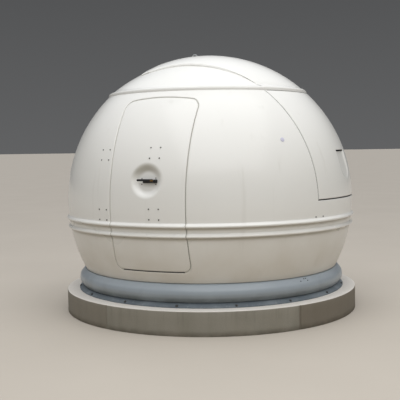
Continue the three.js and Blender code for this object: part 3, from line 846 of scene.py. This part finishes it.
# Slit seal: a strip of black rubber in the seam beside and under the hatch.
# It is glued on the coaming, and ends behind the brim of the shutter.
seal_inner = 1.4918
seal_outer = 1.4952
rubber = cloudy_finish("black rubber", 0.7, 30.0, (38, 37, 35), (56, 54, 50))
for name, side in (("near", -1), ("far", 1)):
    section = coaming_section(side * 0.6234, side * 0.6178, 0.0008, seal_inner, seal_outer)
    start, end = angle_at(seal_inner, 0.62, 1.166), angle_at(seal_inner, 0.62, 2.25)
    strip = turned(section, "Y", start, end - start, 80)
    add_piece("slit_seal_" + name, strip, rubber, "ball")
sill_section = ball_section(1.166, 1.1763, 0.0008, seal_inner, seal_outer)
sill_seal = strip_turned(sill_section, "Z", 0.617, seal_outer)
add_piece("hatch_sill_seal", sill_seal, rubber, "ball")

# Door: a white ribbed moulding with round corners, flush with the wall, with a round dish for the handle.
# It hangs inside on two goose-neck arms, and its edges are rolled like the doorway's.
door = outline_of(-0.380, 0.380, 0.557, door_top, 0.070, 0.075)
dish_radius = 0.173
dish_flat = 0.078
dish_floor = 1.462
dish_round = 0.18
dish_reach = 0.27
sideways = polar(dish_azimuth + 90, 1, 0)
dish_axes = Matrix((sideways, out.cross(sideways), out)).transposed()


def dish_height(t):
    """Distance from the ball's centre, along the dish's axis, of its face at a distance from the axis."""
    outside = math.sqrt(radius * radius - t * t)
    share = min(1.0, max(0.0, (t - dish_flat) / (dish_radius - dish_flat)))
    return dish_floor + (outside - dish_floor) * share**3 * (share * (6 * share - 15) + 10)


def door_place(u, w):
    """A point of the door, whose grid turns into rings round the dish, and how far inside it is."""
    inside = inside_of(door, u, w)
    x, z = round_door(u, w - top_share(w) * door_drop(u), **door)
    point = on_front(x, z)
    a = u - dish_middle.x
    b = (w - dish_middle.z) / math.cos(math.radians(dish_rise))
    m = max(abs(a), abs(b))
    if m >= dish_reach:
        return point, inside
    angle = 0.25 * math.pi * (min(abs(a), abs(b)) / m if m else 0)
    along, over = m * math.cos(angle), m * math.sin(angle)
    if abs(a) < abs(b):
        along, over = over, along
    spot = Vector((math.copysign(along, a), math.copysign(over, b), dish_height(m)))
    dished = centre + dish_axes @ spot
    share = 1 - smooth((m - dish_round) / (dish_reach - dish_round))
    if share >= 1:
        return dished, inside
    return centre + radius * (point.lerp(dished, share) - centre).normalized(), inside


dish_stops = spread(0.0, dish_flat, 0.012) + spread(dish_flat, 0.178, 0.0044) + [0.178, 0.188, 0.205]
dish_stops = mirrored(dish_stops[1:]) + dish_stops
door_columns = after(door["left"]) + spread(door["left"] + 0.025, -0.305, 0.0107)
door_columns += spread(-0.305, dish_middle.x - 0.215, 0.03) + after(dish_middle.x, dish_stops)
door_columns += spread(dish_middle.x + 0.23, 0.305, 0.03) + spread(0.305, 0.365, 0.0107)
door_columns += before(door["right"])
dish_rows = [dish_middle.z + stop * math.cos(math.radians(dish_rise)) for stop in dish_stops]
door_rows = after(door["low"]) + spread(door["low"] + 0.025, 0.627, 0.009)
door_rows += rib_rows(0.627, dish_rows[0] - 0.01) + dish_rows
door_rows += spread(dish_rows[-1] + 0.025, 2.071, 0.03) + spread(2.071, door["top"] - 0.018, 0.0107)
door_rows += before(door["top"])
door_skin = lattice(door_columns, door_rows, door_place)
shell(door_skin, skin, roll, 1)
add_piece("door_moulding", door_skin, [gelcoat, raw_inside], "door", ["door_panel"])

# Door frame: a flat moulded frame of glass fibre, on which the door closes.
# It is bonded behind the wall round the doorway, and steps back under the door's edge.
def door_band(cover, stops, lift):
    """A skin in a band inside an outline like the doorway's. lift() takes the distance inside the outline."""

    def place_on_band(u, w):
        x, z = round_door(u, w - top_share(w) * door_drop(u), **cover)
        return on_front(x, z, lift(inside_of(cover, u, w))), 1.0

    columns = after(cover["left"], stops) + spread(-0.36, -0.3, 0.0125) + spread(-0.3, 0.3, 0.04)
    columns += spread(0.3, 0.36, 0.0125) + before(cover["right"], stops)
    rows = after(cover["low"], stops) + spread(0.58, 0.64, 0.01) + rib_rows(0.64, 2.06)
    rows += spread(2.06, cover["top"] - 0.056, 0.0125) + before(cover["top"], stops)
    return lattice(columns, rows, place_on_band, lambda u, w: inside_of(cover, u, w) > stops[-1])


frame_cover = outline_of(-0.406, 0.406, 0.531, 2.172, 0.096, 0.101)
frame_stops = [0.0, 0.004, 0.012, 0.02, 0.0255, 0.0265, 0.034, 0.040, 0.044]
door_frame = door_band(frame_cover, frame_stops, lambda inside: -0.0143 if inside > 0.026 else -0.0085)
shell(door_frame, 0.024, 0.0)
add_piece("door_frame_moulding", door_frame, raw_inside, "ball", ["door_frame"])

# Door seal: a rubber seal glued on the frame along the door's edge, which shows in the seam.
# It is painted black low down, where the seam lies in shade, and pale grey higher up, where the seam looks
# lit and the sun has bleached it; a black bead lies at the door's foot.
grey_rubber, shader, place = new_finish("weathered and shaded rubber", 0.7)
# Painted shade: the seal darkens to black towards its foot and is pale grey higher up.
weathered = part_of(place).step(0.75, 1.5)
weathered.mix((26, 26, 25), (150, 147, 140)).feed(shader, "Base Color")
seal_cover = outline_of(-0.3895, 0.3855, 0.5465, 2.1515, 0.0755, 0.0805)
door_seal = door_band(seal_cover, [0.0, 0.002, 0.005, 0.008, 0.0105], lambda inside: -0.0098)
shell(door_seal, 0.0042, 0.0015)
add_piece("door_seal", door_seal, grey_rubber, "ball")
bead_section = ball_section(0.5462, 0.5545, 0.003, 1.4862, 1.4968)
door_bead = strip_turned(bead_section, "Z", 0.315, 1.375, middle=-90)
add_piece("door_bead", door_bead, rubber, "ball")

# Hatch: the slit's lower panel, a white moulding that is hinged at its foot, with rolled edges.
# A scoop for the fingers is pressed in under a straight ledge, and runs out to nothing at its round bottom.
hatch_half = 0.617
hatch_low = 1.177
hatch_top = centre.z + radius * math.sin(math.radians(45.6))
scoop_half = 0.150
scoop_ledge = 0.140
scoop_turn = -0.020
# The scoop's floor, as distances from the ball's centre: at its foot, before the pocket, and in the pocket.
scoop_foot = 1.490
scoop_shelf = 1.477
scoop_depth = 1.455
shelf_end = 0.110
pocket_start = 0.125
pocket_fall = 0.006
ledge_fall = 0.003
scoop_slope = 0.04
scoop_blend = 0.004
scoop_reach = 0.24


def scoop_row(b):
    """Height on the ball of a row at a distance above the scoop's middle."""
    return centre.z + radius * math.sin(math.radians(scoop_rise) + math.asin(b / radius))


def hatch_place(y, z):
    """A point of the hatch, pressed in where the scoop is, and how far inside the panel it is."""
    inside = min(hatch_half - abs(y), z - hatch_low, hatch_top - z)
    point = on_slit(y, z)
    b = radius * math.sin(math.asin((z - centre.z) / radius) - math.radians(scoop_rise))
    over = b - scoop_turn
    m = max(abs(y), -over if over < 0 else over - (scoop_ledge - scoop_turn - scoop_half))
    if m >= scoop_reach:
        return point, inside
    within = 1
    side_x, side_y = y, over
    if over < 0:
        within = scoop_half - m
        angle = 0.25 * math.pi * (min(abs(y), -over) / m if m else 0)
        side_x, side_y = m * math.cos(angle), m * math.sin(angle)
        if abs(y) < -over:
            side_x, side_y = side_y, side_x
        side_x, side_y = math.copysign(side_x, y), -side_y
    b = side_y + scoop_turn
    outer = math.sqrt(radius**2 - side_x**2 - b * b)
    lowest = scoop_turn - scoop_half
    shallow = scoop_shelf + (shelf_end - b) * (scoop_foot - scoop_shelf) / (shelf_end - lowest)
    floor_line = shallow + (scoop_depth - scoop_shelf) * smooth((b - pocket_start) / pocket_fall)
    share = smooth(min(scoop_half - abs(side_x), within) / scoop_slope)
    share *= smooth((scoop_ledge - b) / ledge_fall)
    level = outer + (min(floor_line, outer) - outer) * share
    scooped = centre + Vector((0, side_x, 0)) + scoop_up * b + scoop_out * level
    if m <= scoop_half + scoop_blend:
        return scooped, inside
    keep = 1 - smooth((m - scoop_half - scoop_blend) / (scoop_reach - scoop_half - scoop_blend))
    return centre + radius * (point.lerp(scooped, keep) - centre).normalized(), inside


scoop_stops = spread(0.0, 0.12, 0.01) + spread(0.12, scoop_half, 0.0025)
scoop_stops += [scoop_half, 0.156, 0.165, 0.18, 0.2]
scoop_sides = mirrored(scoop_stops[1:]) + scoop_stops
scoop_rows = before(scoop_turn, scoop_stops[1:])
scoop_rows += spread(scoop_turn, 0.12, 0.01) + spread(0.12, scoop_ledge - ledge_fall, 0.002)
scoop_rows += spread(scoop_ledge - ledge_fall, scoop_ledge, 0.0005) + [scoop_ledge, 0.142, 0.146, 0.155, 0.17]
scoop_heights = [scoop_row(b) for b in scoop_rows]
hatch_columns = after(-hatch_half) + spread(-hatch_half + 0.03, -0.2, 0.03)
hatch_columns = hatch_columns + scoop_sides + mirrored(hatch_columns)
hatch_rows = after(hatch_low) + spread(hatch_low + 0.03, scoop_heights[0], 0.02)
hatch_rows += scoop_heights + spread(scoop_heights[-1] + 0.03, hatch_top - 0.015, 0.03)
hatch_rows += before(hatch_top)
hatch = lattice(hatch_columns, hatch_rows, hatch_place)
shell(hatch, skin, roll, 1)
add_piece("hatch_moulding", hatch, [gelcoat, raw_inside], "hatch", ["hatch_panel"])

# Shutter: the lid over the crown, a white moulding on the true ball, so that it stands proud of the cap.
# Its edges are softly rounded, its front ends in a brim like the cap's, and a skirt falls behind the crown.
shutter_half = 0.617
shutter_rear = -0.385
skirt_end = -0.475
shutter_rise = math.radians(50)
shutter_end = radius * math.cos(shutter_rise)
brim_corners = [(shutter_end, centre.z + radius * math.sin(shutter_rise), 0), (0.978, 2.2695, 0.012)]
brim_corners += [(1.004, 2.261, 0.02), (1.026, 2.25, 0.012), (1.036, 2.237, 0.012), (1.038, 2.2125, 0)]
brim = rounded(brim_corners, closed=False)[1:]
lid_round = 0.0145
lid_stops = [0.0, 0.0008, 0.0022, 0.0045, 0.0075, 0.0105, lid_round, 0.019]
skirt_stops = after(skirt_end, lid_stops + [0.03, 0.045, 0.06, 0.075, 0.082])
skirt_over_cap = 0.015
lid_rows = 44


def skirt_level(x, y):
    """Height of the skirt's skin, which runs straight from over the cap up to the ball's skin."""
    low, high = cap_level(skirt_end, y) + skirt_over_cap, ball_level(shutter_rear, y)
    return low + (high - low) * (x - skirt_end) / (shutter_rear - skirt_end)


def lid_place(y, row):
    """Rows run up the skirt, over the ball to the front, and down the brim."""
    row = round(row)
    if row < len(skirt_stops):
        x = skirt_stops[row]
        return Vector((x, y, skirt_level(x, y))), min(shutter_half - abs(y), x - skirt_end)
    row -= len(skirt_stops)
    if row <= lid_rows:
        end = math.sqrt(shutter_end**2 - y * y)
        x = shutter_rear + (end - shutter_rear) * row / lid_rows
        return Vector((x, y, ball_level(x, y))), shutter_half - abs(y)
    r, z = brim[row - lid_rows - 1]
    return Vector((math.sqrt(r * r - y * y), y, z)), shutter_half - abs(y)


def shutter_place(y, row):
    """The lid's point, which falls at the soft edge but stays over the cap, and its distance from an edge."""
    point, inside = lid_place(y, row)
    under = cap_level(point.x, point.y) if math.hypot(point.x, point.y) < cap_reach else point.z
    size = max(0.0, min(lid_round, point.z - under - 0.004))
    flat = max(0.0, size - inside)
    fall = size - math.sqrt(size * size - flat * flat)
    return point - Vector((0, 0, fall)), inside


shutter_rows = list(range(len(skirt_stops) + lid_rows + 1 + len(brim)))
shutter_columns = after(-shutter_half, lid_stops) + spread(-shutter_half + 0.03, 0.0, 0.03)
shutter_columns = shutter_columns + [0.0] + mirrored(shutter_columns)
shutter = lattice(shutter_columns, shutter_rows, shutter_place)
shell(shutter, skin, 0.0015, 1)
add_piece("shutter_lid", shutter, [gelcoat, raw_inside], "shutter", ["upper_shutter"])

# Skirt lip: a pale rubber strip along the skirt's edge behind the crown and a little way up both sides.
# It is clamped inside the skirt's skin, and hangs down to the cap to keep rain out.
lip_side = shutter_half - 0.0005
lip_rear = skirt_end + 0.0005
lip_front = -0.39
lip_path = [Vector((x, -lip_side)) for x in spread(lip_front, lip_rear, 0.014)]
lip_path += [Vector((lip_rear, y)) for y in spread(-lip_side, lip_side, 0.03) + [lip_side]]
lip_path += [Vector((x, lip_side)) for x in spread(lip_rear, lip_front, 0.014)[1:] + [lip_front]]


def skirt_lip_place(stop, row):
    """A point of the lip by its place along the path, on the cap or inside the skirt's skin."""
    x, y = lip_path[round(stop)]
    return Vector((x, y, skirt_level(x, y) - 0.006 if row else cap_level(x, y) + 0.0012)), 1.0


lip_rubber = cloudy_finish("pale rubber", 0.6, 20.0, (205, 205, 200), (190, 190, 184))
skirt_lip = lattice(list(range(len(lip_path))), [0, 1], skirt_lip_place)
skirt_lip.faces.ensure_lookup_table()
if skirt_lip.faces[0].normal.y > 0:
    bmesh.ops.reverse_faces(skirt_lip, faces=skirt_lip.faces)
shell(skirt_lip, 0.004, 0.0)
add_piece("skirt_lip", skirt_lip, lip_rubber, "shutter")

# Flap: a strip of rolled glass fibre behind the shutter's front edge, which closes the gap over the hatch.
# It is bonded inside the lid, laps behind the hatch's top, and is cut off square at both ends.
flap_half = 0.579
flap_turn = 66
flap_table = [(1.49, 50, 0.002), (1.49, 47.5, 0.004), (1.483, 46.9, 0.004)]
flap_table += [(1.483, 43.9, 0.003), (1.473, 43.9, 0.003), (1.473, 50, 0.002)]
flap_corners = []
for distance, rise, roundness in flap_table:
    rise = math.radians(rise)
    flap_corners.append((distance * math.cos(rise), centre.z + distance * math.sin(rise), roundness))
flap = turned(rounded(flap_corners), "Z", -flap_turn / 2, flap_turn, 60)
for side in (-along_y, along_y):
    cut = sliced(flap, side, flap_half, 1e-6, clear_outer=True)
    rims = [item for item in cut["geom_cut"] if isinstance(item, bmesh.types.BMEdge)]
    bmesh.ops.holes_fill(flap, edges=rims)
add_piece("shutter_flap_strip", flap, raw_inside, "shutter", ["shutter_flap"])

# Hinges: forks, goose-neck arms and the lifting eye, all of plain zinc-plated steel.
# Their plates are bolted through the skin, so that each shows outside as a few dull bolt heads.
hinge_steel, shader, place = new_finish("zinc-plated steel", 0.38, 0.9)
place.noise(38.0).mix((168, 170, 170), (146, 148, 150)).feed(shader, "Base Color")
(place.noise(22.0) * 0.25 + 0.28).feed(shader, "Roughness")
for name, node in frame["nodes"].items():
    if "hinge" in name or "arm" in name or name == "lifting_eye":
        node.data.materials.clear()
        node.data.materials.append(hinge_steel)

dull_steel = cloudy_finish("dull steel", 0.45, 70.0, (56, 54, 51), (80, 77, 72), metallic=0.7)
bolt_head = 0.0045


def bolt_on_ball(bm, point, radius, head=bolt_head, sides=16):
    """A bolt head that stands square on the ball's skin."""
    add_bolt(bm, standing(point, point - centre), radius, head, sides=sides)


def square_of_bolts(bm, x, z, half=0.0475):
    """Four bolt heads on the door's side of the ball."""
    for across in (-half, half):
        for over in (-half, half):
            bolt_on_ball(bm, on_front(x + across, z + over), 0.0064)


wall_bolts = bmesh.new()
square_of_bolts(wall_bolts, -0.480, 1.621)
square_of_bolts(wall_bolts, -0.476, 1.068)
for azimuth in (64.1, 68.1, 111.9, 115.9):
    bolt_on_ball(wall_bolts, polar(azimuth, *ring_at(1.017)), 0.0062)
add_piece("wall_hinge_bolts", wall_bolts, dull_steel, "ball", sharp=30)
door_bolts = bmesh.new()
square_of_bolts(door_bolts, 0.076, 1.634)
square_of_bolts(door_bolts, 0.090, 1.086)
add_piece("door_hinge_bolts", door_bolts, dull_steel, "door", sharp=30)

# Small fittings: four dull screws hold a joint of the base ring, through its sloped shoulder.
# A lilac plastic plug closes a hole in the wall beside the slit.
shoulder_normal = (0.767, 0.642)
joint_screws = bmesh.new()
for azimuth, z in ((61.1, 0.408), (63.3, 0.424), (64.4, 0.425), (64.9, 0.406)):
    point = polar(azimuth, 1.352 + (0.428 - z) * 0.837, z)
    add_bolt(joint_screws, standing(point, polar(azimuth, *shoulder_normal)), 0.0062, 0.003, sides=12)
add_piece("ring_joint_screws", joint_screws, dull_steel, "base", sharp=30)
lilac = cloudy_finish("lilac plug", 0.4, 60.0, (206, 204, 218), (192, 190, 208))
plug = bmesh.new()
bolt_on_ball(plug, polar(52.2, *ring_at(1.736)), 0.021, 0.003, 40)
add_piece("wall_plug", plug, lilac, "ball", sharp=30)

# Handle: a black moulded latch on the dish's floor, held by four screws. Its lever lies over the body.
# The body has a raised pan and an end block with a steel keeper, and the lock sits in a brown plate.
black = cloudy_finish("black plastic", 0.38, 60.0, (20, 20, 21), (30, 30, 31))
brass = cloudy_finish("brown brass", 0.35, 90.0, (140, 108, 66), (112, 86, 54), metallic=0.9)
on_dish = Matrix.Translation(centre) @ dish_axes.to_4x4()


def add_block(bm, low, high, bevel):
    """Adds a block with rounded edges on the dish, between two corners.

    A corner's numbers run across, up, and outwards from the ball's centre.
    """
    low, high = Vector(low), Vector(high)
    block = on_dish @ Matrix.Translation((low + high) / 2) @ Matrix.Diagonal((*(high - low), 1))
    made = bmesh.ops.create_cube(bm, size=1, matrix=block)
    edges = list({edge for v in made["verts"] for edge in v.link_edges})
    bmesh.ops.bevel(bm, geom=edges, offset=bevel, segments=3, profile=0.5, affect="EDGES", material=-1)


body = bmesh.new()
add_block(body, (-0.0460, -0.016, 1.4623), (0.0960, 0.016, 1.4705), 0.0025)
add_block(body, (-0.0430, -0.0145, 1.4700), (0.0800, 0.0145, 1.4845), 0.004)
add_block(body, (0.0780, -0.016, 1.4623), (0.0970, 0.016, 1.4862), 0.002)
add_piece("latch_body", body, black, "door", ["handle_body"])
keeper = bmesh.new()
add_block(keeper, (0.0855, -0.014, 1.4855), (0.0885, 0.014, 1.4872), 0.0005)
for across, over in ((-0.061, 0.026), (-0.059, -0.026), (0.079, 0.030), (0.081, -0.026)):
    screw = on_dish @ Matrix.Translation((across, over, dish_floor))
    add_bolt(keeper, screw, 0.005, 0.0035, sides=20)
add_piece("latch_screws", keeper, dull_steel, "door", sharp=30)
lever = bmesh.new()
add_block(lever, (-0.086, -0.004, 1.4932), (0.066, 0.016, 1.5048), 0.004)
add_bolt(lever, on_dish @ Matrix.Translation((-0.085, 0.006, 1.4932)), 0.010, 0.0116, sides=24)
add_bolt(lever, on_dish @ Matrix.Translation((0.054, 0.0, 1.4868)), 0.0158, 0.0180, sides=32)
add_piece("latch_lever", lever, black, "lever", ["handle_lever"])
lock = bmesh.new()
add_block(lock, (0.040, -0.006, 1.5040), (0.072, 0.009, 1.5062), 0.0008)
add_bolt(lock, on_dish @ Matrix.Translation((0.054, 0.0, 1.5055)), 0.0070, 0.0022, sides=28)
add_piece("latch_lock", lock, brass, "lever", ["lock_cylinder"])
